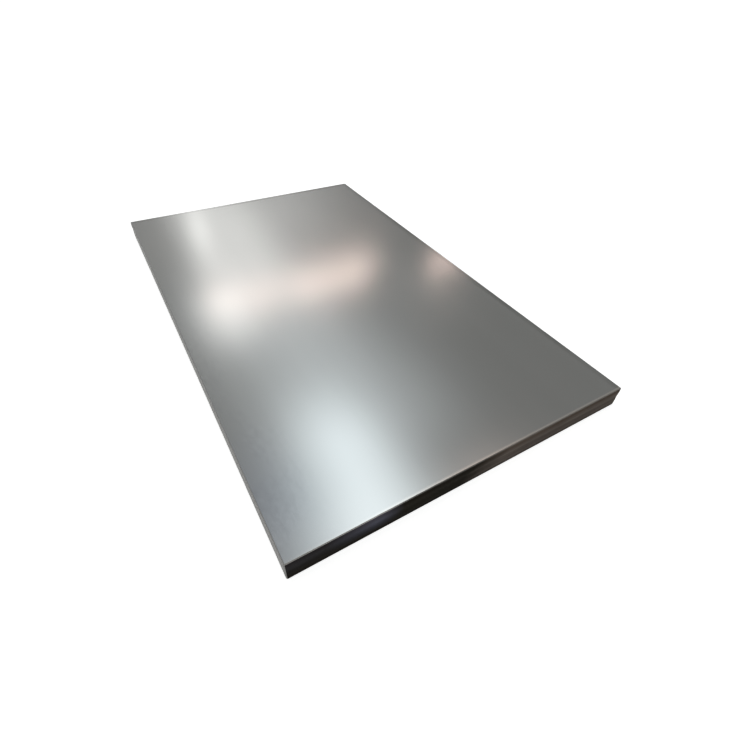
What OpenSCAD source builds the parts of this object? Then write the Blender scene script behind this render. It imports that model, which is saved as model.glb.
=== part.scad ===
// Rolled steel plate with as-rolled mill edges: one solid, lying flat with its bright face up.
// Origin at the centre of the underside, X along the length, Y across the width, Z up. Millimetres.

/* [Plate] */
// Length over the edges, along X
plate_length = 2000; // [500:10:6000]
// Width over the edges, along Y
plate_width = 1220; // [300:10:2500]
// Thickness between the two rolled faces
plate_thickness = 80; // [20:1:200]

/* [Mill edge] */
// Radius of the rounded arris between a face and an edge
arris_radius = 3; // [1:0.5:8]
// Steepest lean from the vertical of the two bulges that run along the edge, in degrees
bulge_lean = 5; // [2:0.5:12]
// Radius of the hollow between the two bulges, at half the thickness
hollow_radius = 60; // [10:5:150]

/* [Smoothness] */
// Straight steps in the arc of each arris
arris_steps = 5; // [2:1:12]
// Straight steps in each half of a bulge
bulge_steps = 6; // [2:1:16]
// Straight steps in each half of the hollow
hollow_steps = 3; // [2:1:8]

/* [Hidden] */

// Height that an arris takes up as it turns from level to the lean of the bulge
arris_height = arris_radius * (1 - sin(bulge_lean));
// Height that half of the hollow takes up as it turns from the lean to the vertical
half_hollow_height = hollow_radius * sin(bulge_lean);
// A bulge takes up what the arris and the hollow leave of half the thickness, tangent to both
half_bulge_height = (plate_thickness / 2 - arris_height - half_hollow_height) / 2;
bulge_radius = half_bulge_height / sin(bulge_lean);
// Height of the upper bulge's crest, where the edge reaches furthest out
crest_height = plate_thickness - arris_height - half_bulge_height;
// Spare length that carries each prism past the edges of the other
overrun = plate_thickness;

function direction(angle) = [cos(angle), sin(angle)];

// Points of an arc between two angles, after its first point
function arc(centre, radius, from, to, steps) =
    [for (i = [1:steps]) centre + radius * direction(from + (to - from) * i / steps)];

// Upper half of an edge, from the top face down to half the thickness, with its crest at the given reach
function upper_edge(reach) =
    let (
        bulge_centre = [reach - bulge_radius, crest_height],
        arris_centre = bulge_centre + (bulge_radius - arris_radius) * direction(bulge_lean),
        hollow_centre = bulge_centre + (bulge_radius + hollow_radius) * direction(-bulge_lean)
    )
    concat(
        [arris_centre + arris_radius * direction(90)],
        arc(arris_centre, arris_radius, 90, bulge_lean, arris_steps),
        arc(bulge_centre, bulge_radius, bulge_lean, 0, bulge_steps),
        arc(bulge_centre, bulge_radius, 0, -bulge_lean, bulge_steps),
        arc(hollow_centre, hollow_radius, 180 - bulge_lean, 180, hollow_steps)
    );

// Whole edge from the top face to the underside, where the lower half mirrors the upper one
function edge(reach) =
    let (upper = upper_edge(reach), middle = len(upper) - 1)
    concat(upper, [for (i = [middle - 1:-1:0]) [upper[i].x, plate_thickness - upper[i].y]]);

// Cross-section of the plate over a span, with an edge at each end
function section(span) =
    let (right = edge(span / 2), last = len(right) - 1)
    concat(right, [for (i = [last:-1:0]) [-right[i].x, right[i].y]]);

// Section over one span, drawn out level along the other
module prism(span, run) {
    rotate([90, 0, 0])
        linear_extrude(height = run + 2 * overrun, center = true)
            polygon(section(span));
}

// The edges of the two ends and of the two long sides meet in mitres at four square corners
module steel_plate() {
    color("silver")
        intersection() {
            prism(plate_length, plate_width);
            rotate([0, 0, 90])
                prism(plate_width, plate_length);
        }
}

steel_plate();
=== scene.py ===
import math

import bpy
import numpy as np
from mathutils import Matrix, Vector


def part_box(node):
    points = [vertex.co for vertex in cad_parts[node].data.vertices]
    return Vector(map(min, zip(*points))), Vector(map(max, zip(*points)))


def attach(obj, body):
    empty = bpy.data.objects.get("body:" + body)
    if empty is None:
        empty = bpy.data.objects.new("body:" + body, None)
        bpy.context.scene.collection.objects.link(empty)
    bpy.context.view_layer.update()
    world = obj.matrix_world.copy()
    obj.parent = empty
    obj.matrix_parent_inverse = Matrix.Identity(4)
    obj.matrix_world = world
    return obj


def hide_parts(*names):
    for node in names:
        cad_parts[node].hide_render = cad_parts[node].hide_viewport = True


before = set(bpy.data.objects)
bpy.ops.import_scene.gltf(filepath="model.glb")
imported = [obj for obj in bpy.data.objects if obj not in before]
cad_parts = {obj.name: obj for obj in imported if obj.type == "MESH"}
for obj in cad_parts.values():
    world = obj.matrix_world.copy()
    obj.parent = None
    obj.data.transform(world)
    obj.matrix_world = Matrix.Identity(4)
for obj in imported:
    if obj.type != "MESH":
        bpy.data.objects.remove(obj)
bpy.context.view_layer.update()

# The plate: metres, in the frame's own axes, with the origin at the centre of the underside
NODE = "steel_plate"
BODY = "root"
LOW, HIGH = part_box(NODE)
HALF_LENGTH = (HIGH.x - LOW.x) / 2
HALF_WIDTH = (HIGH.y - LOW.y) / 2
THICKNESS = HIGH.z - LOW.z

# Section of the mill edge, as in the solid: rounded arrises, two bulges and a hollow between them
ARRIS_RADIUS = 0.003
BULGE_LEAN = math.radians(5)
HOLLOW_RADIUS = 0.060
ARRIS_STEPS = 6
BULGE_STEPS = 7
HOLLOW_STEPS = 3
# A flat strip beside each arris keeps the shading of the wide faces flat
FLAT_STRIP = 0.0015

# Grid of the wide faces, and steps round each corner
CELL = 0.010
CORNER_STEPS = 4

# Order of the finishes on the plate
TOP_FINISH, END_FINISH, SIDE_FINISH, UNDER_FINISH = range(4)

# Relief that rolling and handling leave, in metres
SEED = 11
FACE_WAVE = 0.0012
EDGE_WANDER = 0.0005
EDGE_STREAK = 0.00018
NICK_COUNT = 26
NICK_DEPTH = 0.0007
NICK_LENGTH = 0.014
# Slopes at which the waves along X and along Y lean across the top face
FACE_SLANT_X = 0.3
FACE_SLANT_Y = -0.2
# Share of its own depth by which the relief of the edge is set in
SET_IN = 0.5
# How far a streak sways up and down, in radians of its wave
STREAK_SWAY = 2.5
# How far each radian of a streak's phase moves its sway along the edge
STREAK_SHIFT = 7
# Least and most of a nick's depth and length, as shares of the ones above
NICK_DEPTHS = (0.3, 1)
NICK_LENGTHS = (0.5, 1.4)

# Camera, solved from the four corners of the top face in the photograph
CAMERA_PLACE = (1.4755, -0.692, 1.126)
CAMERA_TURN = (46.50, -2.227, 59.334)
CAMERA_LENS = 21.6
SENSOR = 36.0

# Studio: softboxes on a ceiling, a white floor and a grey room
CEILING = 3.0
# Lamps that overlap hang this far apart in height, so that a reflection shows them all
LAMP_DROP = 0.02
FLOOR_SIZE = 120.0
FLOOR_WHITE = 0.80
FLOOR_GLOW = 0.83
ROOM_GREY = (0.226, 0.228, 0.221)
ROOM_HORIZON = (1.0, 1.0, 1.0)
# Sine of the height in the room at which the white of the horizon is gone
ROOM_RISE = 0.40

rng = np.random.default_rng(SEED)


# Section and relief

def along(point, distance, angle):
    """The point at a distance from another, in a direction."""
    return point[0] + distance * math.cos(angle), point[1] + distance * math.sin(angle)


def arc(centre, radius, start, end, steps):
    """Points of an arc between two angles, after its first point."""
    turns = [start + (end - start) * i / steps for i in range(1, steps + 1)]
    return [along(centre, radius, turn) for turn in turns]


def edge_profile():
    """Points (out, height) of the edge from the top face to the underside.

    Out is measured from the first point, at the inner side of the flat strip.
    """
    lean = BULGE_LEAN
    arris_height = ARRIS_RADIUS * (1 - math.sin(lean))
    half_bulge = (THICKNESS / 2 - arris_height - HOLLOW_RADIUS * math.sin(lean)) / 2
    bulge_radius = half_bulge / math.sin(lean)
    bulge = (-bulge_radius, THICKNESS - arris_height - half_bulge)
    arris = along(bulge, bulge_radius - ARRIS_RADIUS, lean)
    hollow = along(bulge, bulge_radius + HOLLOW_RADIUS, -lean)
    upper = [(arris[0] - FLAT_STRIP, THICKNESS), (arris[0], THICKNESS)]
    upper += arc(arris, ARRIS_RADIUS, math.pi / 2, lean, ARRIS_STEPS)
    upper += arc(bulge, bulge_radius, lean, 0, BULGE_STEPS)
    upper += arc(bulge, bulge_radius, 0, -lean, BULGE_STEPS)
    upper += arc(hollow, HOLLOW_RADIUS, math.pi - lean, math.pi, HOLLOW_STEPS)
    lower = [(x, THICKNESS - z) for x, z in reversed(upper[:-1])]
    first = upper[0][0]
    return [(x - first, z) for x, z in upper + lower]


def waves(count, longest, shortest):
    """Seeded sine waves as rows of (wave number, phase, weight), longer ones stronger."""
    lengths = np.exp(rng.uniform(math.log(shortest), math.log(longest), count))
    phases = rng.uniform(0, 2 * math.pi, count)
    weights = np.sqrt(lengths / longest)
    return np.stack([2 * math.pi / lengths, phases, weights / weights.sum()], 1)


def wave_sum(rows, place):
    """Sum of waves at a place, between -1 and 1."""
    return sum(weight * np.sin(number * place + phase) for number, phase, weight in rows)


FACE_WAVES_X = waves(count=5, longest=1.9, shortest=0.45)
FACE_WAVES_Y = waves(count=5, longest=1.5, shortest=0.40)
WANDER_WAVES = waves(count=12, longest=1.6, shortest=0.06)
STREAK_LONG = waves(count=9, longest=1.3, shortest=0.18)
STREAK_HIGH = waves(count=9, longest=0.030, shortest=0.006)
# Rows of (share of the way round, share of the depth, share of the length)
NICKS = np.stack([rng.uniform(*span, NICK_COUNT) for span in ((0, 1), NICK_DEPTHS, NICK_LENGTHS)], 1)


def face_wave(x, y):
    """Slow waviness of the top face, never above the flat face."""
    wave_x = wave_sum(FACE_WAVES_X, x + FACE_SLANT_X * y)
    wave_y = wave_sum(FACE_WAVES_Y, y + FACE_SLANT_Y * x)
    # The two sums together run from -2 to 2, so the wave runs from -1 to 0
    return FACE_WAVE * ((wave_x + wave_y) / 4 - 1 / 2)


def edge_relief(distance, height, perimeter):
    """How far the edge stands in or out, at a distance round the plate and a height."""
    from_face = np.minimum(height, THICKNESS - height)
    fade = np.clip(from_face / (2 * ARRIS_RADIUS), 0, 1)
    wander = wave_sum(WANDER_WAVES, distance)
    streak = 0
    for number, phase, weight in STREAK_HIGH:
        sway = STREAK_SWAY * wave_sum(STREAK_LONG, distance + STREAK_SHIFT * phase)
        streak = streak + weight * np.sin(number * height + phase + sway)
    relief = fade * (EDGE_WANDER * (wander - SET_IN) + EDGE_STREAK * (streak - SET_IN))
    near_arris = np.exp(-((THICKNESS - ARRIS_RADIUS / 2 - height) / ARRIS_RADIUS) ** 2)
    for place, depth, length in NICKS:
        away = (distance - place * perimeter) / (NICK_LENGTH * length)
        relief = relief - NICK_DEPTH * depth * np.exp(-away ** 2) * near_arris
    return relief


# Mesh

def grid_lines(end):
    """Places of a wide face's grid lines along one axis, with the same end on both sides."""
    return np.linspace(-end, end, round(2 * end / CELL) + 1)


def stations(columns, rows):
    """Places round the plate, counter-clockwise: (column, row, direction out) with a fan at each corner."""
    last_column, last_row = columns - 1, rows - 1
    sides = [
        ([(last_column, j) for j in range(rows)], 0),
        ([(i, last_row) for i in reversed(range(columns))], 90),
        ([(0, j) for j in reversed(range(rows))], 180),
        ([(i, 0) for i in range(columns)], 270),
    ]
    places = []
    for cells, angle in sides:
        places += [(i, j, math.radians(angle)) for i, j in cells]
        corner = cells[-1]
        fan = [angle + 90 * n / CORNER_STEPS for n in range(1, CORNER_STEPS)]
        places += [(*corner, math.radians(a)) for a in fan]
    return places


def at_height(points, height):
    """Points of a level plane in space."""
    return np.column_stack([points, np.full(len(points), height)])


def plate_vertices(profile, inset, xs, ys, places):
    """Vertices of the top grid, of a ring at each height of the edge, and of the bottom grid."""
    grid = np.stack([lines.ravel() for lines in np.meshgrid(xs, ys, indexing="ij")], 1)
    base = np.array([(xs[i], ys[j]) for i, j, _ in places])
    out = np.array([(math.cos(a), math.sin(a)) for _, _, a in places])
    crest = base + inset * out
    step = np.linalg.norm(np.roll(crest, -1, 0) - crest, axis=1)
    distance = np.concatenate([[0], np.cumsum(step)[:-1]])
    rings = []
    for reach, height in profile[1:-1]:
        shift = reach + edge_relief(distance, height, step.sum())
        rings.append(at_height(base + out * shift[:, None], height))
    vertices = np.concatenate([at_height(grid, THICKNESS), *rings, at_height(grid, 0.0)])
    # The wave of the top face fades down the edge, and the underside stays flat
    x, y, z = vertices.T
    vertices[:, 2] = z + face_wave(x, y) * (z / THICKNESS) ** 2
    return vertices


def plate_faces(levels, columns, rows, places):
    """Faces of both grids and of the edge between them, as lists of vertices, and their finishes."""
    count = len(places)
    rings_start = columns * rows
    bottom_start = rings_start + (levels - 2) * count

    def grid(i, j):
        return i * rows + j

    def ring(level, n):
        i, j, _ = places[n % count]
        if level == 0:
            return grid(i, j)
        if level == levels - 1:
            return bottom_start + grid(i, j)
        return rings_start + (level - 1) * count + n % count

    def finish(level, n):
        if level == 0:
            return TOP_FINISH
        if level == levels - 2:
            return UNDER_FINISH
        angle = places[n][2]
        return END_FINISH if abs(math.cos(angle)) > abs(math.sin(angle)) else SIDE_FINISH

    faces, finishes = [], []
    for i in range(columns - 1):
        for j in range(rows - 1):
            cell = [grid(i, j), grid(i + 1, j), grid(i + 1, j + 1), grid(i, j + 1)]
            faces += [cell, [bottom_start + v for v in reversed(cell)]]
            finishes += [TOP_FINISH, UNDER_FINISH]
    for level in range(levels - 1):
        for n in range(count):
            cell = [ring(level, n), ring(level + 1, n), ring(level + 1, n + 1), ring(level, n + 1)]
            # In a corner's fan, the cells beside a wide face have three sides
            faces.append(list(dict.fromkeys(cell)))
            finishes.append(finish(level, n))
    return faces, finishes


def build_plate():
    """Closed mesh of the plate: two gridded faces joined by the edge, swept round the outline."""
    profile = edge_profile()
    inset = max(out for out, _ in profile)
    xs = grid_lines(HALF_LENGTH - inset)
    ys = grid_lines(HALF_WIDTH - inset)
    places = stations(len(xs), len(ys))
    vertices = plate_vertices(profile, inset, xs, ys, places)
    faces, finishes = plate_faces(len(profile), len(xs), len(ys), places)
    mesh = bpy.data.meshes.new("rolled_plate")
    mesh.from_pydata(vertices.tolist(), [], faces)
    mesh.polygons.foreach_set("material_index", finishes)
    mesh.polygons.foreach_set("use_smooth", [True] * len(faces))
    mesh.update()
    plate = bpy.data.objects.new("rolled_plate", mesh)
    bpy.context.scene.collection.objects.link(plate)
    return plate


# Shader nodes

# Places of the colour sockets on a mix node, which has one set of sockets for each kind of value
MIX_AMOUNT, MIX_FIRST, MIX_SECOND = 0, 6, 7
MIX_RESULT = 2


def plug(tree, node, sockets):
    """Give each socket of a node a value, or a link to another node's output."""
    for name, value in sockets.items():
        if isinstance(value, bpy.types.NodeSocket):
            tree.links.new(value, node.inputs[name])
        else:
            node.inputs[name].default_value = value


def add(tree, kind, sockets=None, **settings):
    """A node with its settings made and its sockets plugged."""
    made = tree.nodes.new(kind)
    for name, value in settings.items():
        setattr(made, name, value)
    plug(tree, made, sockets or {})
    return made


def new_material(name):
    """A material with its node tree and its shader."""
    material = bpy.data.materials.new(name)
    material.use_nodes = True
    return material, material.node_tree, material.node_tree.nodes["Principled BSDF"]


def own_place(tree):
    """Place in the plate's own space."""
    return add(tree, "ShaderNodeTexCoord").outputs["Object"]


def axes_of(tree, vector):
    """Outputs X, Y and Z of a vector."""
    return add(tree, "ShaderNodeSeparateXYZ", {"Vector": vector}).outputs


def noise(tree, scale, detail=3, roughness=0.5):
    """Noise in the plate's own space, at a scale along each of X, Y and Z in cycles a metre."""
    mapped = add(tree, "ShaderNodeMapping", {"Vector": own_place(tree), "Scale": scale}).outputs["Vector"]
    sockets = {"Vector": mapped, "Scale": 1, "Detail": detail, "Roughness": roughness}
    return add(tree, "ShaderNodeTexNoise", sockets).outputs["Fac"]


def spread(tree, value, span, to=(0, 1), kind="LINEAR"):
    """Value from one span to another, clamped."""
    sockets = {"Value": value, "From Min": span[0], "From Max": span[1], "To Min": to[0], "To Max": to[1]}
    return add(tree, "ShaderNodeMapRange", sockets, interpolation_type=kind).outputs["Result"]


def combine(tree, operation, first, second):
    """Result of a sum on two values."""
    return add(tree, "ShaderNodeMath", {0: first, 1: second}, operation=operation).outputs[0]


def product(tree, first, *others):
    """All the values multiplied."""
    for other in others:
        first = combine(tree, "MULTIPLY", first, other)
    return first


def blend(tree, share, first, second):
    """A share of the first value and the rest of the second."""
    return combine(tree, "ADD", product(tree, first, share), product(tree, second, 1 - share))


def mix(tree, amount, first, second, kind="MIX"):
    """A colour between two others, or the first changed by the second."""
    sockets = {MIX_AMOUNT: amount, MIX_FIRST: first, MIX_SECOND: second}
    return add(tree, "ShaderNodeMix", sockets, data_type="RGBA", blend_type=kind).outputs[MIX_RESULT]


def ramp(tree, share, stops):
    """Colours along a share from 0 to 1, from stops of (share, colour)."""
    made = add(tree, "ShaderNodeValToRGB", {"Fac": share})
    elements = made.color_ramp.elements
    # New stops begin at the middle and get their own places below
    while len(elements) < len(stops):
        elements.new(0.5)
    for element, (position, colour) in zip(elements, stops):
        element.position = position
        element.color = (*colour, 1)
    return made.outputs["Color"]


def grey_level(tree, level):
    """The same level in all three colours."""
    return add(tree, "ShaderNodeCombineXYZ", {"X": level, "Y": level, "Z": level}).outputs["Vector"]


def bump(tree, height, strength, depth):
    """Normals of a fine relief, whose depth is in metres."""
    sockets = {"Height": height, "Strength": strength, "Distance": depth}
    return add(tree, "ShaderNodeBump", sockets).outputs["Normal"]


# Finishes: scales of noise are in cycles a metre along X, Y and Z, and places in metres

# Spans of noise that a finish makes use of: nearly all of it, or its middle
MOST = (0.3, 0.7)
MIDDLE = (0.35, 0.65)

# Top face, with pairs of colours that run from dark to light
GRAIN_SCALE = (3, 900, 900)
STREAK_SCALE = (0.8, 22, 22)
MOTTLE_SCALE = (3, 4, 4)
STREAKS_IN_STEEL = 0.5
STEEL = (0.625, 0.627, 0.622, 1), (0.645, 0.647, 0.642, 1)
STEEL_ROUGHNESS = (0.18, 0.19)
GRAIN_ROUGHNESS = (0, 0.01)
GRAIN_DEPTH = 0.0002
# Smudges near the left front corner, along X and Y from where they begin to where they are full
SMUDGE_SCALE = (34, 60, 60)
SMUDGE_SPAN = (0.36, 0.64)
SMUDGE_PATCH_SCALE = (7, 9, 9)
SMUDGE_PATCH_SPAN = (0.40, 0.58)
SMUDGES = (0.590, 0.593, 0.595, 1), (0.680, 0.682, 0.682, 1)
SMUDGES_ALONG = (-0.3, 0.6)
SMUDGES_ACROSS = (-0.42, -0.59)
# Fringe of darker steel along the right side and the far end
FRINGE = 0.030
FRINGE_SPAN = (0.35, 0.6)
FRINGE_SHARES = (0.3, 1)
FRINGE_STEEL = (0.46, 0.46, 0.455, 1)
# Rim along the front end, partly worn bright and partly a painted highlight, and its growth from left to
# right
BRIGHT_RIM = 0.012
RIM_WEAR_AND_HIGHLIGHT = (0.90, 0.86, 0.82, 1)
RIM_ACROSS = (-0.40, -0.15)
RIM_SHARES = (0.15, 1)


def rolled_face():
    """Bright satin steel with a fine grain along the length, smudges, a darker fringe, and a bright rim that
    is partly wear and partly a painted highlight.
    """
    material, tree, shader = new_material("rolled_face")
    axes = axes_of(tree, own_place(tree))
    grain = noise(tree, GRAIN_SCALE, detail=4, roughness=0.6)
    streak = noise(tree, STREAK_SCALE)
    mottle = noise(tree, MOTTLE_SCALE, detail=4)
    tone = blend(tree, STREAKS_IN_STEEL, streak, mottle)
    colour = mix(tree, spread(tree, tone, MOST), *STEEL)

    smudge = noise(tree, SMUDGE_SCALE, detail=8, roughness=0.75)
    smudged = mix(tree, spread(tree, smudge, SMUDGE_SPAN), *SMUDGES)
    patch = spread(tree, noise(tree, SMUDGE_PATCH_SCALE), SMUDGE_PATCH_SPAN)
    near_front = spread(tree, axes["X"], SMUDGES_ALONG)
    near_left = spread(tree, axes["Y"], SMUDGES_ACROSS)
    colour = mix(tree, product(tree, near_front, near_left, patch), colour, smudged)

    from_side = combine(tree, "SUBTRACT", HALF_WIDTH, axes["Y"])
    from_end = combine(tree, "ADD", axes["X"], HALF_LENGTH)
    fringe = spread(tree, combine(tree, "MINIMUM", from_side, from_end), (FRINGE / 3, FRINGE), (1, 0))
    uneven = spread(tree, mottle, FRINGE_SPAN, FRINGE_SHARES)
    colour = mix(tree, product(tree, fringe, uneven), colour, FRINGE_STEEL)

    # Painted highlight along the front rim, partly wear, stronger towards the right
    from_front = combine(tree, "SUBTRACT", HALF_LENGTH, axes["X"])
    rim = spread(tree, from_front, (BRIGHT_RIM / 2, BRIGHT_RIM), (1, 0))
    rim = product(tree, rim, spread(tree, axes["Y"], RIM_ACROSS, RIM_SHARES))
    colour = mix(tree, rim, colour, RIM_WEAR_AND_HIGHLIGHT)

    steel_rough = spread(tree, tone, MOST, STEEL_ROUGHNESS)
    rough = combine(tree, "ADD", steel_rough, spread(tree, grain, MOST, GRAIN_ROUGHNESS))
    normal = bump(tree, grain, strength=0.01, depth=GRAIN_DEPTH)
    plug(tree, shader, {"Base Color": colour, "Metallic": 1, "Roughness": rough, "Normal": normal})
    return material


# Both kinds of edge
EDGE_STREAK_SCALE = (1.5, 1.5, 170)
EDGE_PATCH_SCALE = (5, 5, 18)
EDGE_FINE_SCALE = (70, 70, 500)
STREAKS_IN_TONE = 0.6
FINE_IN_RELIEF = 0.4
EDGE_RELIEF_DEPTH = 0.0006
# Heights between which the wear of the upper arris, with its painted highlight on the ends, grows to its full
# strength
ARRIS_WEAR_AND_HIGHLIGHT_HEIGHTS = (THICKNESS - ARRIS_RADIUS, THICKNESS - 0.0016)


def edge_noise(tree):
    """Patches, fine scale, the tone and the relief of an edge that was rolled in streaks."""
    streak = noise(tree, EDGE_STREAK_SCALE, detail=4, roughness=0.6)
    patch = noise(tree, EDGE_PATCH_SCALE, detail=4)
    fine = noise(tree, EDGE_FINE_SCALE)
    tone = blend(tree, STREAKS_IN_TONE, streak, patch)
    relief = combine(tree, "ADD", streak, product(tree, fine, FINE_IN_RELIEF))
    return patch, fine, tone, relief


# Edges of the two ends
# Painted shadow and reflections on the ends: black as painted shadow, blue grey and brown partly painted
# reflected light
OXIDE_IN_PAINTED_SHADOW = (0.027, 0.024, 0.018, 1)
BLUE_OXIDE_AND_PAINTED_REFLECTION = (0.21, 0.22, 0.30, 1)
BROWN_OXIDE_AND_PAINTED_LIGHT = (0.18, 0.152, 0.132, 1)
# Worn top arris, partly bare steel and partly a painted highlight
RUBBED_STEEL_AND_HIGHLIGHT = (0.64, 0.62, 0.60, 1)
OXIDE_ROUGHNESS = (0.58, 0.74)
RUBBED_SMOOTHNESS = 0.36
OXIDE_SPECULAR = 0.01
# Level of the end colour by the share of the height, as painted shade and light: dark at the foot, in the
# hollow and under the top arris, lighter on the two bulges
OXIDE_PAINTED_SHADE_LEVELS = [
    (0.00, (0.15, 0.15, 0.15)),
    (0.18, (0.74, 0.74, 0.74)),
    (0.28, (0.92, 0.92, 0.92)),
    (0.40, (0.70, 0.70, 0.70)),
    (0.63, (1.00, 1.00, 1.00)),
    (0.85, (0.62, 0.57, 0.53)),
    (1.00, (0.57, 0.53, 0.49)),
]
# Span of shades that the streaks and patches give the oxide
OXIDE_SHADES = (0.72, 1.24)
# Stretches along Y in which the blue comes and goes and the brown comes
BLUE_COMES = (-0.50, -0.34)
BLUE_SHARES = (0.15, 1)
BLUE_GOES = (-0.36, -0.27)
BROWN_COMES = (-0.08, 0.09)
# Shares of the height between which the blue grows
BLUE_HEIGHTS = (0.2, 0.9)
# How far the border of the brown slants from the foot to the top, and wanders
BROWN_SLANT = (0.06, -0.06)
BROWN_WANDER = (-0.04, 0.04)
# Stretch along Y in which the wear and painted highlight of the arris grow weaker, and their strength on both
# sides of it
RUBBED_HIGHLIGHT_ACROSS = (-0.36, -0.24)
RUBBED_HIGHLIGHT_SHARES = (1, 0.28)
# Span of the patches in which the wear and painted highlight are uneven, and their strength there
RUBBED_HIGHLIGHT_PATCH_SPAN = (0.25, 0.45)
RUBBED_HIGHLIGHT_PATCH_SHARES = (0.5, 1)


def end_edge():
    """Dark oxides in streaks along the two ends, from a blue grey painted reflection to brown with painted
    light, black painted shadow between them, painted shade by height, and the top arris worn bright with a
    painted highlight.
    """
    material, tree, shader = new_material("end_edge")
    axes = axes_of(tree, own_place(tree))
    patch, fine, tone, relief = edge_noise(tree)

    # Painted light and shadow on the ends: a blue grey painted reflection on the upper left, brown with
    # painted light on the right with a slanting border, black painted shadow between them
    height = combine(tree, "DIVIDE", axes["Z"], THICKNESS)
    blue_comes = spread(tree, axes["Y"], BLUE_COMES, BLUE_SHARES)
    blue_goes = spread(tree, axes["Y"], BLUE_GOES, (1, 0))
    blue = product(tree, blue_comes, blue_goes, spread(tree, height, BLUE_HEIGHTS))
    slanted = combine(tree, "ADD", axes["Y"], spread(tree, height, (0, 1), BROWN_SLANT))
    border = combine(tree, "ADD", slanted, spread(tree, patch, MOST, BROWN_WANDER))
    oxide_and_painted_light = mix(tree, blue, OXIDE_IN_PAINTED_SHADOW, BLUE_OXIDE_AND_PAINTED_REFLECTION)
    oxide_and_painted_light = mix(tree, spread(tree, border, BROWN_COMES), oxide_and_painted_light, BROWN_OXIDE_AND_PAINTED_LIGHT)
    # Painted shade by height: dark at the foot, in the hollow and under the top arris, painted light on the
    # two bulges
    oxide_and_painted_light = mix(tree, 1, oxide_and_painted_light, ramp(tree, height, OXIDE_PAINTED_SHADE_LEVELS), "MULTIPLY")
    shade = spread(tree, tone, MIDDLE, OXIDE_SHADES)
    oxide_and_painted_light = mix(tree, 1, oxide_and_painted_light, grey_level(tree, shade), "MULTIPLY")

    # Top arris worn bright: partly wear, partly a painted highlight
    on_arris = spread(tree, axes["Z"], ARRIS_WEAR_AND_HIGHLIGHT_HEIGHTS)
    uneven = spread(tree, patch, RUBBED_HIGHLIGHT_PATCH_SPAN, RUBBED_HIGHLIGHT_PATCH_SHARES)
    rubbed_and_highlight = product(tree, on_arris, uneven, spread(tree, axes["Y"], RUBBED_HIGHLIGHT_ACROSS, RUBBED_HIGHLIGHT_SHARES))

    colour = mix(tree, rubbed_and_highlight, oxide_and_painted_light, RUBBED_STEEL_AND_HIGHLIGHT)
    rough = spread(tree, fine, MOST, OXIDE_ROUGHNESS)
    rough = combine(tree, "SUBTRACT", rough, product(tree, rubbed_and_highlight, RUBBED_SMOOTHNESS))
    normal = bump(tree, relief, strength=0.35, depth=EDGE_RELIEF_DEPTH)
    plug(tree, shader, {"Base Color": colour, "Metallic": rubbed_and_highlight, "Roughness": rough, "Normal": normal,
                        "Specular IOR Level": OXIDE_SPECULAR})
    return material


# Edges of the two long sides
GREY_SCALE = (0.32, 0.315, 0.305, 1), (0.43, 0.425, 0.415, 1)
WORN_STEEL = (0.60, 0.59, 0.58, 1)
WORN_SHARES = (0, 0.6)
SCALE_ROUGHNESS = (0.45, 0.6)
SCALE_SPECULAR = 0.2


def side_edge():
    """Grey scale in streaks along the two long sides, worn to metal on the top arris."""
    material, tree, shader = new_material("side_edge")
    axes = axes_of(tree, own_place(tree))
    _, fine, tone, relief = edge_noise(tree)
    scale = mix(tree, spread(tree, tone, MIDDLE), *GREY_SCALE)
    worn = spread(tree, axes["Z"], ARRIS_WEAR_AND_HIGHLIGHT_HEIGHTS, WORN_SHARES)
    colour = mix(tree, worn, scale, WORN_STEEL)
    rough = spread(tree, fine, MOST, SCALE_ROUGHNESS)
    normal = bump(tree, relief, strength=0.3, depth=EDGE_RELIEF_DEPTH)
    plug(tree, shader, {"Base Color": colour, "Metallic": worn, "Roughness": rough, "Normal": normal,
                        "Specular IOR Level": SCALE_SPECULAR})
    return material


# Underside
UNDER_SCALE = (7, 9, 9)
SCUFF_SCALE = (5, 160, 160)
DULL_STEEL = (0.16, 0.16, 0.165, 1), (0.34, 0.335, 0.33, 1)
DULL_ROUGHNESS = (0.38, 0.55)
DULL_METALLIC = 0.8
UNDER_DEPTH = 0.0005


def underside():
    """Dull grey rolled face with scale and scuffs from lying on bearers."""
    material, tree, shader = new_material("underside")
    scale = noise(tree, UNDER_SCALE, detail=6, roughness=0.65)
    colour = mix(tree, spread(tree, scale, MIDDLE), *DULL_STEEL)
    rough = spread(tree, noise(tree, SCUFF_SCALE), MOST, DULL_ROUGHNESS)
    normal = bump(tree, scale, strength=0.15, depth=UNDER_DEPTH)
    plug(tree, shader, {"Base Color": colour, "Metallic": DULL_METALLIC, "Roughness": rough,
                        "Normal": normal})
    return material


# Studio

def softbox(name, place, size, colour, radiance, feather=(1, 1), turn=(0, 0, 0)):
    """A rectangular lamp that faces down before it is turned, by angles in degrees.

    Radiance 1 shows as white. Feather is the share of each half, along its two sides, that fades
    towards the rim.
    """
    lamp = bpy.data.lights.new(name, "AREA")
    lamp.shape = "RECTANGLE"
    lamp.size, lamp.size_y = size
    lamp.color = colour
    lamp.energy = radiance * math.pi * size[0] * size[1]
    lamp.use_nodes = True
    tree = lamp.node_tree
    # Places on the lamp run from 0 to 1 along each side
    axes = axes_of(tree, add(tree, "ShaderNodeNewGeometry").outputs["Parametric"])
    middle = 0.5
    fades = []
    for axis, share in zip(("X", "Y"), feather):
        from_middle = combine(tree, "ABSOLUTE", combine(tree, "SUBTRACT", axes[axis], middle), 0)
        fades.append(spread(tree, from_middle, (middle - share / 2, middle), (1, 0), "SMOOTHSTEP"))
    plug(tree, tree.nodes["Emission"], {"Strength": product(tree, *fades)})
    made = bpy.data.objects.new(name, lamp)
    made.location = place
    made.rotation_euler = [math.radians(a) for a in turn]
    made.visible_camera = False
    bpy.context.scene.collection.objects.link(made)


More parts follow.
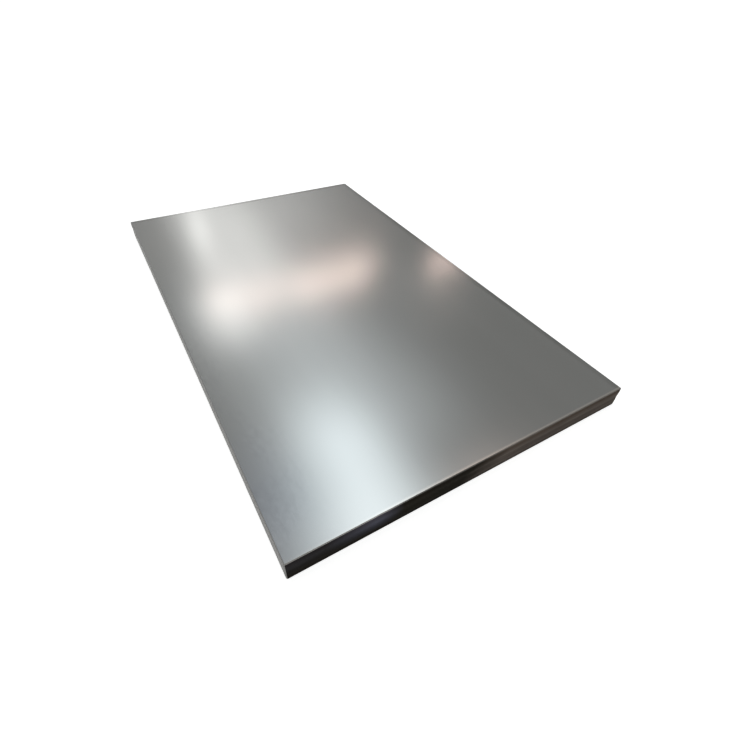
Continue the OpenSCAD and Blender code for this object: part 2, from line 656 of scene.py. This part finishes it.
def ceiling_light(name, centre, size, colour, radiance, feather=(1, 1), turn=0):
    """A softbox on the ceiling, a little lower than the ones before it."""
    height = CEILING - LAMP_DROP * len(bpy.data.lights)
    softbox(name, (*centre, height), size, colour, radiance, feather, (0, 0, turn))


def build_lamps():
    """Softboxes, each with its centre, size, colour and radiance."""
    cool = (0.88, 0.965, 1.0)
    blue = (0.85, 0.955, 1.0)
    deep_blue = (0.45, 0.80, 1.0)
    indigo = (0.10, 0.30, 1.0)
    warm = (1.0, 0.80, 0.71)
    rosy = (1.0, 0.76, 0.67)
    cream = (1.0, 0.95, 0.90)
    white = (1.0, 1.0, 0.98)
    ceiling_light("front_skylight", (0.05, 0.48), (2.4, 2.2), cool, 1.32, turn=12)
    ceiling_light("second_skylight", (-1.15, 0.65), (2.8, 1.6), blue, 0.98)
    ceiling_light("front_warm", (0.1, 1.75), (1.5, 1.7), warm, 0.5)
    ceiling_light("ridge_light", (-3.0, 0.95), (6.0, 3.6), cool, 0.455, feather=(0.5, 1), turn=2)
    ceiling_light("far_ridge_light", (-6.9, 1.0), (4.8, 2.3), white, 0.70, feather=(0.4, 0.8))
    ceiling_light("far_strip", (-6.9, 0.65), (4.0, 0.6), white, 1.0, turn=-8)
    ceiling_light("far_glow", (-7.2, 2.3), (6.0, 3.6), white, 0.42)
    ceiling_light("far_left_glow", (-6.6, -0.3), (5.0, 1.8), white, 0.12)
    ceiling_light("warm_row", (-4.25, 1.35), (1.1, 2.9), warm, 1.2, feather=(0.9, 0.3), turn=-3)
    ceiling_light("row_white_end", (-3.95, 0.22), (2.0, 1.15), white, 0.85, feather=(0.9, 0.9))
    ceiling_light("row_warm_end", (-4.30, 2.75), (0.7, 1.0), warm, 0.95, feather=(0.8, 0.8))
    ceiling_light("warm_side", (-3.72, 4.0), (0.45, 1.2), rosy, 2.0, feather=(0.4, 0.4), turn=10)
    ceiling_light("row_core", (-3.95, 1.95), (0.4, 1.8), rosy, 1.75, feather=(0.8, 0.6))
    ceiling_light("left_blue", (-0.7, 0.0), (1.5, 0.9), deep_blue, 0.09)
    ceiling_light("left_indigo", (-0.8, -0.3), (2.4, 1.2), indigo, 0.05)
    ceiling_light("right_fill", (-3.3, 2.9), (3.4, 1.8), white, 0.10)
    ceiling_light("near_left_soft", (-3.4, -4.6), (5.4, 4.4), white, 0.7)
    ceiling_light("near_right_soft", (4.6, -3.6), (5.0, 5.0), cool, 0.7)
    ceiling_light("row_middle", (-3.70, 0.75), (0.5, 0.9), rosy, 0.7)
    softbox("side_window", (4.2, 2.4, 1.5), (2.8, 3.6), cream, 0.85, feather=(0.8, 0.8), turn=(0, 75, 33))


def build_floor():
    """Matt white floor that glows white where it is seen or reflected."""
    half = FLOOR_SIZE / 2
    corners = [(-half, -half, 0), (half, -half, 0), (half, half, 0), (-half, half, 0)]
    mesh = bpy.data.meshes.new("floor")
    mesh.from_pydata(corners, [], [(0, 1, 2, 3)])
    floor = bpy.data.objects.new("floor", mesh)
    bpy.context.scene.collection.objects.link(floor)
    material = bpy.data.materials.new("floor_white")
    material.use_nodes = True
    tree = material.node_tree
    tree.nodes.clear()
    path = add(tree, "ShaderNodeLightPath").outputs
    seen = combine(tree, "MAXIMUM", path["Is Camera Ray"], path["Is Glossy Ray"])
    seen = combine(tree, "MAXIMUM", seen, path["Is Transmission Ray"])
    glow = add(tree, "ShaderNodeEmission", {"Strength": product(tree, seen, FLOOR_GLOW)})
    matt = add(tree, "ShaderNodeBsdfDiffuse", {"Color": (FLOOR_WHITE, FLOOR_WHITE, FLOOR_WHITE, 1)})
    both = add(tree, "ShaderNodeAddShader", {0: glow.outputs[0], 1: matt.outputs[0]})
    add(tree, "ShaderNodeOutputMaterial", {"Surface": both.outputs[0]})
    mesh.materials.append(material)


def build_room():
    """Grey room that turns white towards the horizon."""
    world = bpy.data.worlds.new("room")
    bpy.context.scene.world = world
    world.use_nodes = True
    tree = world.node_tree
    up = axes_of(tree, add(tree, "ShaderNodeTexCoord").outputs["Generated"])["Z"]
    rise = spread(tree, up, (0, ROOM_RISE), kind="SMOOTHSTEP")
    colour = mix(tree, rise, (*ROOM_HORIZON, 1), (*ROOM_GREY, 1))
    plug(tree, tree.nodes["Background"], {"Color": colour})


def build_camera():
    """Camera at the photograph's place."""
    data = bpy.data.cameras.new("camera")
    data.sensor_width = SENSOR
    data.lens = CAMERA_LENS
    camera = bpy.data.objects.new("camera", data)
    camera.location = CAMERA_PLACE
    camera.rotation_euler = [math.radians(a) for a in CAMERA_TURN]
    bpy.context.scene.collection.objects.link(camera)
    bpy.context.scene.camera = camera


bpy.context.scene.view_settings.view_transform = "Standard"
build_camera()
build_room()
build_floor()
build_lamps()
plate = build_plate()
for finish in (rolled_face(), end_edge(), side_edge(), underside()):
    plate.data.materials.append(finish)
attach(plate, BODY)
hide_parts(NODE)
